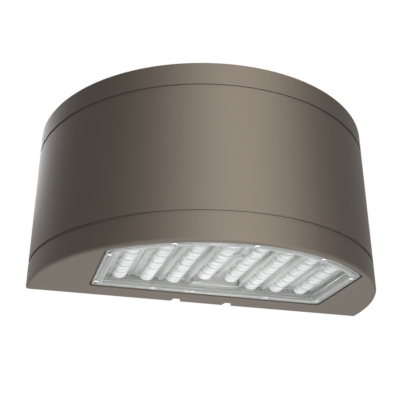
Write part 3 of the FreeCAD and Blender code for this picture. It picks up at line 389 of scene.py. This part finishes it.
optic_painted_highlight = clear_lens.copy()
optic_painted_highlight.name = "optic_painted_highlight"
optic_shader = shader_of(optic_painted_highlight)
optic_shader.inputs["Base Color"].default_value = (0.96, 0.96, 0.96, 1.0)
optic_shader.inputs["Transmission Weight"].default_value = 0.5
optic_shader.inputs["Emission Color"].default_value = (1.0, 0.99, 0.97, 1.0)
# Painted highlight: the glow fades from the crown to nothing at the flanks.
facing = optic_painted_highlight.node_tree.nodes.new("ShaderNodeLayerWeight")
ranged(optic_painted_highlight, facing.outputs["Facing"], PAINTED_CROWN_HIGHLIGHT, 0.0,
       optic_shader.inputs["Emission Strength"], FLANK)
print("made", clear_lens.name, optic_painted_highlight.name)

# %% [markdown]
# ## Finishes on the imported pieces
# The record names a material slot for every piece. One table joins the slots to the
# finishes, so a piece can't be left without one.

# %% Give every node its finish
FINISHES = {
    "bronze_powder_coat": bronze,
    "clear_lens": clear_lens,
    "stainless": stainless,
    "black_rubber": black_rubber,
    "white_silicone": white_silicone,
    "white_board": white_board,
    "led_chip": phosphor_painted_glow,
    "cream_plastic": cream_plastic,
    "grey_pad": grey_pad,
    "cast_aluminium": cast_aluminium,
    "zinc_steel": zinc_steel,
    "green_screw": green_zinc,
    "driver_can": driver_enamel,
    "dark_plastic": dark_plastic,
    "red_lead": red_lead,
    "blue_lead": blue_lead,
    "black_lead": black_lead,
}
for entry in frame["record"]["subparts"]:
    node = nodes[entry["node"]]
    node.data.materials.clear()
    node.data.materials.append(FINISHES[entry["material_slot"]])
print("finishes:", len(FINISHES))

# %% [markdown]
# ## The lens, seen from below
# The real lens is one clear moulding: a flange that is screwed on, an upright wall, a raised
# plate, and an optic over each light point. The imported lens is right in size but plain. Here
# one loop of edges is made by spinning a corner point round the housing's axis. It lies a
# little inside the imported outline, which leaves the dark line of shadow that the photograph
# shows round the lens.

# %% Loop of edges with the lens's outline
SHADOW_GAP = 0.7 * MM
LENS_RADIUS = REAR - lens_low.y - SHADOW_GAP
LENS_HALF = lens_high.x - SHADOW_GAP
LENS_BACK = lens_high.y - SHADOW_GAP
LENS_MIDDLE = (lens_low.y + lens_high.y) / 2
LENS_DEPTH = (lens_high.y - lens_low.y) / 2 - SHADOW_GAP
CORNER = 3.0 * MM
ARC_STEPS = 64


def outline_loop(mesh, height):
    """Closed loop of edges along the lens's outline, rounded at its four corners."""
    reach = math.asin(LENS_HALF / LENS_RADIUS)
    shoulder = REAR - LENS_RADIUS * math.cos(reach)
    left = mesh.verts.new((-LENS_HALF, shoulder, height))
    bmesh.ops.spin(mesh, geom=[left], cent=(0, REAR, height), axis=(0, 0, 1), angle=2 * reach,
                   steps=ARC_STEPS, use_merge=False)
    right = max(mesh.verts, key=lambda vert: vert.co.x)
    back_ends = []
    for side, end in ((1, right), (-1, left)):
        made = bmesh.ops.extrude_vert_indiv(mesh, verts=[end])["verts"][0]
        made.co = (side * LENS_HALF, LENS_BACK, height)
        back_ends.append(made)
    mesh.edges.new(back_ends)
    bmesh.ops.bevel(mesh, geom=[left, right] + back_ends, affect="VERTICES", offset=CORNER,
                    segments=5, profile=0.5, material=-1)
    return mesh.edges[:]


print("lens outline:", round(2 * LENS_HALF, 4), "wide,", round(2 * LENS_DEPTH, 4), "deep")

# %% [markdown]
# ### Tray
# The loop is extruded again and again, drawn in and moved down or up each time. That gives
# the fine double line of the rim, the wall of the well and the plate in one skin, where
# boxes and cuts would leave seams.

# %% Profiles of the tray: flange, rim lines, wall and plate
FLANGE_LOW = lens_low.z
FLANGE_TOP = FLANGE_LOW + 2.4 * MM
PLATE_TOP = lens_high.z
PLATE_LOW = PLATE_TOP - 2.0 * MM
WELL_INSET = 10.0 * MM
WELL_OUTER = 8.5 * MM
BELOW = [
    (0.0, FLANGE_LOW + 0.4 * MM), (0.4 * MM, FLANGE_LOW),
    (1.8 * MM, FLANGE_LOW), (2.2 * MM, FLANGE_LOW + 1.5 * MM),
    (3.4 * MM, FLANGE_LOW + 1.5 * MM), (3.8 * MM, FLANGE_LOW),
    (WELL_INSET - 1.0 * MM, FLANGE_LOW), (WELL_INSET - 0.3 * MM, FLANGE_LOW + 0.3 * MM),
    (WELL_INSET, FLANGE_LOW + 1.0 * MM), (WELL_INSET + 0.2 * MM, FLANGE_LOW + 5.0 * MM),
    (WELL_INSET + 1.4 * MM, FLANGE_LOW + 5.3 * MM), (WELL_INSET + 1.6 * MM, PLATE_LOW - 1.0 * MM),
    (WELL_INSET + 2.6 * MM, PLATE_LOW),
]
ABOVE = [(WELL_OUTER, FLANGE_TOP), (WELL_OUTER, PLATE_TOP)]
print("steps of the tray:", len(BELOW), "below and", len(ABOVE), "above")

# %% Draw the loop through the profiles


def new_half(made):
    """Vertices and far edges that an extrusion has made."""
    verts = [item for item in made if isinstance(item, bmesh.types.BMVert)]
    edges = [item for item in made if isinstance(item, bmesh.types.BMEdge)
             and all(vert in verts for vert in item.verts)]
    return verts, edges


def drawn_walls(mesh, loop, profile, start=(0.0, FLANGE_TOP)):
    """Extrude a loop through (inset, height) steps by drawing it in; returns the last loop."""
    inset, height = start
    for next_inset, next_height in profile:
        made = bmesh.ops.extrude_edge_only(mesh, edges=loop)["geom"]
        verts, loop = new_half(made)
        shrink_x = (LENS_HALF - next_inset) / (LENS_HALF - inset)
        shrink_y = (LENS_DEPTH - next_inset) / (LENS_DEPTH - inset)
        bmesh.ops.scale(mesh, vec=(shrink_x, shrink_y, 1), verts=verts,
                        space=Matrix.Translation((0, -LENS_MIDDLE, 0)))
        bmesh.ops.translate(mesh, vec=(0, 0, next_height - height), verts=verts)
        inset, height = next_inset, next_height
    return loop


tray = bmesh.new()
rim = outline_loop(tray, FLANGE_TOP)
for profile in (BELOW, ABOVE):
    last = drawn_walls(tray, rim, profile)
    bmesh.ops.contextual_create(tray, geom=last)
print("tray faces:", len(tray.faces), "open edges:", sum(e.is_boundary for e in tray.edges))

# %% [markdown]
# ### Where the optics go
# Every optic stands over a light point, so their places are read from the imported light
# points and not written down again. A node with several solids is split into its islands:
# each walk from vertex to vertex finds one solid.

# %% Where the light points are


def walked(start, left):
    """Places of all vertices that edges join to a first one; they are taken out of left."""
    group = []
    waiting = [start]
    while waiting:
        vert = waiting.pop()
        group.append(vert.co.copy())
        for edge in vert.link_edges:
            other = edge.other_vert(vert)
            if other in left:
                left.remove(other)
                waiting.append(other)
    return group


def islands(node_name):
    """Centres of the separate solids of a node, from a merged copy of its mesh."""
    copy = bmesh.new()
    copy.from_mesh(nodes[node_name].data)
    bmesh.ops.remove_doubles(copy, verts=copy.verts, dist=0.01 * MM)
    left = set(copy.verts)
    centres = []
    while left:
        group = walked(left.pop(), left)
        low_corner = [min(co[axis] for co in group) for axis in range(3)]
        high_corner = [max(co[axis] for co in group) for axis in range(3)]
        centres.append((Vector(low_corner) + Vector(high_corner)) / 2)
    copy.free()
    return sorted(centres, key=lambda co: (round(co.x, 4), round(co.y, 4)))


chip_places = islands("led_chips")
print("light points:", len(chip_places), chip_places[0])

# %% [markdown]
# ### Optics
# Each light point has its own optic of two clear lobes, one before the other, that throw its
# light to both sides. A lobe is a half section spun once round and then stretched sideways,
# on a low round foot that belongs to the tray. One optic is made and then copied, which is
# quicker than spinning every one.

# %% One optic
SEAM = 0.005 * MM
OPTIC_STEPS = 20
LOBE = [(0.0, -6.0), (1.0, -5.8), (2.0, -5.1), (2.8, -3.8), (3.2, -2.2), (3.3, 0.5), (0.0, 0.5)]
LOBE_STRETCH = 2.3
LOBE_APART = 3.7 * MM


def spun(mesh, place, section, steps):
    """Spin a half section, given in mm from a place, once round its upright axis."""
    made = [mesh.verts.new(place + Vector((x * MM, 0, z * MM))) for x, z in section]
    chain = [mesh.edges.new(pair) for pair in zip(made, made[1:])]
    bmesh.ops.spin(mesh, geom=made + chain, cent=place, axis=(0, 0, 1), angle=2 * math.pi,
                   steps=steps, use_merge=True)


optic = bmesh.new()
for side in (-1, 1):
    spun(optic, Vector((0, side * LOBE_APART, 0)), LOBE, OPTIC_STEPS)
bmesh.ops.scale(optic, vec=(LOBE_STRETCH, 1, 1), verts=optic.verts)
bmesh.ops.remove_doubles(optic, verts=optic.verts, dist=SEAM)
print("one optic has", len(optic.faces), "faces")

# %% Copy it under every light point
FOOT = [(0.0, -1.2), (8.2, -1.2), (8.5, -0.9), (8.6, 0.5), (0.0, 0.5)]


def stamp(target, pattern, places):
    """Copy a pattern into another bmesh at each place, and free it."""
    data = bpy.data.meshes.new("pattern")
    pattern.to_mesh(data)
    pattern.free()
    for place in places:
        already = len(target.verts)
        target.from_mesh(data)
        bmesh.ops.translate(target, vec=place, verts=target.verts[already:])
    bpy.data.meshes.remove(data)


under_chips = [Vector((chip.x, chip.y, PLATE_LOW)) for chip in chip_places]
optics = bmesh.new()
stamp(optics, optic, under_chips)
for place in under_chips:
    spun(tray, place, FOOT, OPTIC_STEPS)
print("optics:", len(under_chips), "faces", len(optics.faces))

# %% [markdown]
# ### From a bmesh to a piece
# A finished shape becomes an object with a name, a body to ride on, a material slot and its
# finish. Moulded parts are round almost everywhere, so faces are shaded smooth, and only
# edges that turn sharply stay crisp.

# %% Optics into the scene
SHARP = math.radians(38)


def finish_mesh(mesh, name, body, material):
    """Put a bmesh into the scene as a named piece that rides on a body; sharp edges stay crisp."""
    bmesh.ops.recalc_face_normals(mesh, faces=mesh.faces)
    for face in mesh.faces:
        face.smooth = True
    for edge in mesh.edges:
        edge.smooth = len(edge.link_faces) == 2 and edge.calc_face_angle() < SHARP
    data = bpy.data.meshes.new(name)
    mesh.to_mesh(data)
    mesh.free()
    piece = bpy.data.objects.new(name, data)
    bpy.context.scene.collection.objects.link(piece)
    data.materials.append(material)
    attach(piece, body)
    return piece


optics_piece = finish_mesh(optics, "lens_optics", "housing", optic_painted_highlight)
print("optics' faces in the scene:", len(optics_piece.data.polygons))

# %% [markdown]
# ### Ribs
# Round-topped ribs stiffen the plate between the columns of optics. The middle one and the
# outer two are low, because small screws stand in their line. Every rib is a cube, stretched
# and then bevelled, which keeps its ends round as a mould leaves them.

# %% Ribs
PITCH = 28.7 * MM
ROOT = 0.5 * MM
TALL_RIB = {"half": 2.7 * MM, "drop": 5.2 * MM, "round": 1.8 * MM}
LOW_RIB = {"half": 1.4 * MM, "drop": 1.8 * MM, "round": 0.7 * MM}
RIB_BACK = LENS_BACK - WELL_INSET - 3.5 * MM
RIB_FRONT_GAP = 4.5 * MM
CONNECTOR_ROOM = 16.0 * MM


def block(mesh, low_corner, high_corner, round_by, segments=2):
    """Box between two corners with rounded edges."""
    size = Vector(high_corner) - Vector(low_corner)
    middle = (Vector(high_corner) + Vector(low_corner)) / 2
    stretch = Matrix.Translation(middle) @ Matrix.Diagonal((*size, 1.0))
    made = bmesh.ops.create_cube(mesh, size=1.0, matrix=stretch)["verts"]
    edges = list(dict.fromkeys(edge for vert in made for edge in vert.link_edges))
    bmesh.ops.bevel(mesh, geom=edges, affect="EDGES", offset=round_by, segments=segments,
                    profile=0.5, material=-1)


def rib_front(x):
    """How far forward a rib reaches at x: just behind the well's round wall."""
    reach = LENS_RADIUS - WELL_INSET - RIB_FRONT_GAP
    return REAR - math.sqrt(reach ** 2 - x ** 2)


for step in range(-3, 4):
    x = PITCH * step
    rib = TALL_RIB if abs(step) in (1, 2) else LOW_RIB
    back = RIB_BACK if step else RIB_BACK - CONNECTOR_ROOM
    block(tray, (x - rib["half"], rib_front(x), PLATE_LOW - rib["drop"]),
          (x + rib["half"], back, PLATE_LOW + ROOT), rib["round"], 3)
print("ribs done, faces", len(tray.faces))

# %% [markdown]
# ### Window over the connector
# The connector stands lower than the plate, so the lens goes round it: a thin pane below it,
# with a wall at each end and one in front. Each is one rounded block.

# %% Window
connector_low, connector_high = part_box("board_connector")
PANE_LOW = PLATE_LOW - 7.0 * MM
PANE_THICK = 1.5 * MM
PANE_ROUND = 0.6 * MM
PANE_PAST = 4.0 * MM
WALL_START = PANE_LOW + 0.5 * MM
WALL_HALF = 0.8 * MM
WALL_ROUND = 0.3 * MM
FRONT_WALL = 1.5 * MM
WINDOW_FRONT = connector_low.y - 3 * MM
WINDOW_BACK = RIB_BACK + 4.0 * MM
window_left = connector_low.x - PANE_PAST
window_right = connector_high.x + PANE_PAST

block(tray, (window_left, WINDOW_FRONT, PANE_LOW),
      (window_right, WINDOW_BACK, PANE_LOW + PANE_THICK), PANE_ROUND)
for side in (-1, 1):
    wall_x = side * (window_right - WALL_HALF)
    block(tray, (wall_x - WALL_HALF, WINDOW_FRONT, WALL_START),
          (wall_x + WALL_HALF, WINDOW_BACK, PLATE_LOW + ROOT), WALL_ROUND)
block(tray, (window_left, WINDOW_FRONT, WALL_START),
      (window_right, WINDOW_FRONT + FRONT_WALL, PLATE_LOW + ROOT), WALL_ROUND)
print("window", round(window_right - window_left, 4), "wide")

# %% [markdown]
# ### Bosses
# Two of the screws at the back pass through clear posts, and a low ring stands round each
# small screw. Both are half sections spun round. A flat pane stiffens the flange behind the
# window. The tray is then merged once, so that every pole and seam is closed, and takes the
# packed lens's place.

# %% Bosses, and the finished lens
POST = [(0.0, 0.1), (5.0, 0.1), (5.4, 0.5), (5.4, 11.8), (0.0, 11.8)]
POST_REACH = 10 * MM
POST_HALF = 100 * MM
POST_SHIFT = 0.5 * MM
RING = [(3.4, 0.2), (3.4, -2.4), (4.6, -2.4), (4.9, -2.0), (4.9, 0.2), (3.4, 0.2)]
BOSS_STEPS = 20
PANE_HALF = 30 * MM

for screw in islands("lens_screws"):
    if LENS_BACK - screw.y < POST_REACH and abs(screw.x) < POST_HALF:
        spun(tray, Vector((screw.x, screw.y - POST_SHIFT, FLANGE_LOW)), POST, BOSS_STEPS)
for screw in islands("optic_screws"):
    spun(tray, Vector((screw.x, screw.y, PLATE_LOW)), RING, BOSS_STEPS)
block(tray, (-PANE_HALF, LENS_BACK - 8.0 * MM, FLANGE_LOW - 0.3 * MM),
      (PANE_HALF, LENS_BACK - 1.0 * MM, FLANGE_LOW + 1.0 * MM), 0.25 * MM)
bmesh.ops.remove_doubles(tray, verts=tray.verts, dist=SEAM)
print("lens open edges:", sum(edge.is_boundary for edge in tray.edges))
lens_piece = finish_mesh(tray, "lens_moulding", "housing", clear_lens)
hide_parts("lens")
print("lens faces:", len(lens_piece.data.polygons))

# %% [markdown]
# ### Gasket under the flange
# The seal has two lips. Through the clear flange they show as two pale lines with a dark
# line between them. Each lip is one loop, drawn round a small rectangle and merged.

# %% Gasket lips
SEAL_LOW = FLANGE_TOP
SEAL_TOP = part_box("lens_gasket")[1].z
LIPS = ((0.4 * MM, 2.0 * MM), (4.8 * MM, 7.9 * MM))

gasket = bmesh.new()
for outer, inner in LIPS:
    lip = bmesh.new()
    loop = outline_loop(lip, SEAL_LOW)
    shrink = ((LENS_HALF - outer) / LENS_HALF, (LENS_DEPTH - outer) / LENS_DEPTH, 1)
    bmesh.ops.scale(lip, vec=shrink, verts=lip.verts,
                    space=Matrix.Translation((0, -LENS_MIDDLE, 0)))
    section = [(inner, SEAL_LOW), (inner, SEAL_TOP), (outer, SEAL_TOP), (outer, SEAL_LOW)]
    drawn_walls(lip, loop, section, (outer, SEAL_LOW))
    bmesh.ops.remove_doubles(lip, verts=lip.verts, dist=SEAM)
    stamp(gasket, lip, [Vector((0, 0, 0))])
gasket_piece = finish_mesh(gasket, "gasket_lips", "housing", white_silicone)
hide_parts("lens_gasket")
print("gasket faces:", len(gasket_piece.data.polygons))

# %% [markdown]
# ## Screws with a star recess
# Ten screws hold the lens's flange and six small ones its plate. Their heads are low domes
# with a six-pointed recess. The dome and the shank are one half section spun round, which
# leaves a round hole in the crown. Its rim is extruded into a star and then pushed in, so
# head and recess are one closed skin.

# %% One screw
SCREW_STEPS = 24
HOLE_SHARE = 0.56
STAR_POINTS = 6
STAR_MIDDLE = 0.80
STAR_WAVE = 0.16
POINT_LENGTH = 1.0


def star_screw(mesh, place, head_radius, head_height, shank_radius, length):
    """Screw that points up: place is the middle of its crown, sizes in mm."""
    before = set(mesh.verts)
    hole = head_radius * HOLE_SHARE
    section = [
        (hole, 0.0), (head_radius * 0.75, 0.08), (head_radius * 0.92, head_height * 0.3),
        (head_radius, head_height * 0.6), (head_radius, head_height),
        (shank_radius, head_height), (shank_radius, length - POINT_LENGTH),
        (shank_radius * 0.5, length), (0.0, length),
    ]
    spun(mesh, place, section, SCREW_STEPS)
    mine = [vert for vert in mesh.verts if vert not in before]
    bmesh.ops.remove_doubles(mesh, verts=mine, dist=0.01 * MM)
    rim = [edge for edge in mesh.edges if edge.is_boundary and not set(edge.verts) & before]
    for depth in (0.05, head_height * 0.9):
        made = bmesh.ops.extrude_edge_only(mesh, edges=rim)["geom"]
        verts, rim = new_half(made)
        for vert in verts:
            across = Vector((vert.co.x - place.x, vert.co.y - place.y, 0))
            turn = math.atan2(across.y, across.x)
            across.length = hole * (STAR_MIDDLE + STAR_WAVE * math.cos(STAR_POINTS * turn)) * MM
            vert.co = place + across + Vector((0, 0, depth * MM))
    bmesh.ops.contextual_create(mesh, geom=rim)


print("a recess has", STAR_POINTS, "points")

# %% Both sets of screws
for node_name, piece_name, head, shank in (
        ("lens_screws", "lens_screw_set", (3.4, 1.8), 1.85),
        ("optic_screws", "optic_screw_set", (3.0, 1.8), 1.45)):
    low_end, high_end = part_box(node_name)
    length = (high_end.z - low_end.z) / MM
    screws = bmesh.new()
    for middle in islands(node_name):
        star_screw(screws, Vector((middle.x, middle.y, low_end.z)), *head, shank, length)
    print(node_name, "faces:", len(screws.faces))
    piece = finish_mesh(screws, piece_name, "housing", stainless)
    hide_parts(node_name)

# %% [markdown]
# ## Connector on the board
# The cream block that shows through the window of the lens is where the leads plug into the
# board. It is a rounded block with a small pocket in its face: the lower face is inset,
# narrowed and pushed in. Two small latches stand on its front.

# %% Connector
POCKET_INSET = 2.4 * MM
POCKET_SHARE = 0.16
POCKET_DEPTH = 2.0 * MM
LATCH_PLACE = 14.0 * MM
LATCH_HALF = 3.0 * MM

plug = bmesh.new()
block(plug, connector_low, connector_high, 0.8 * MM, 3)
face = min(plug.faces, key=lambda f: f.calc_center_median().z - f.calc_area())
bmesh.ops.inset_individual(plug, faces=[face], thickness=POCKET_INSET)
bmesh.ops.scale(plug, vec=(POCKET_SHARE, 1, 1), verts=face.verts)
bmesh.ops.translate(plug, vec=(0, 0, POCKET_DEPTH), verts=face.verts)
for side in (-1, 1):
    x = side * LATCH_PLACE
    block(plug, (x - LATCH_HALF, connector_low.y - 0.6 * MM, connector_low.z + 2.0 * MM),
          (x + LATCH_HALF, connector_low.y + 0.4 * MM, connector_high.z), 0.2 * MM)
plug_piece = finish_mesh(plug, "board_plug", "housing", cream_plastic)
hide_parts("board_connector")
print("connector faces:", len(plug_piece.data.polygons))
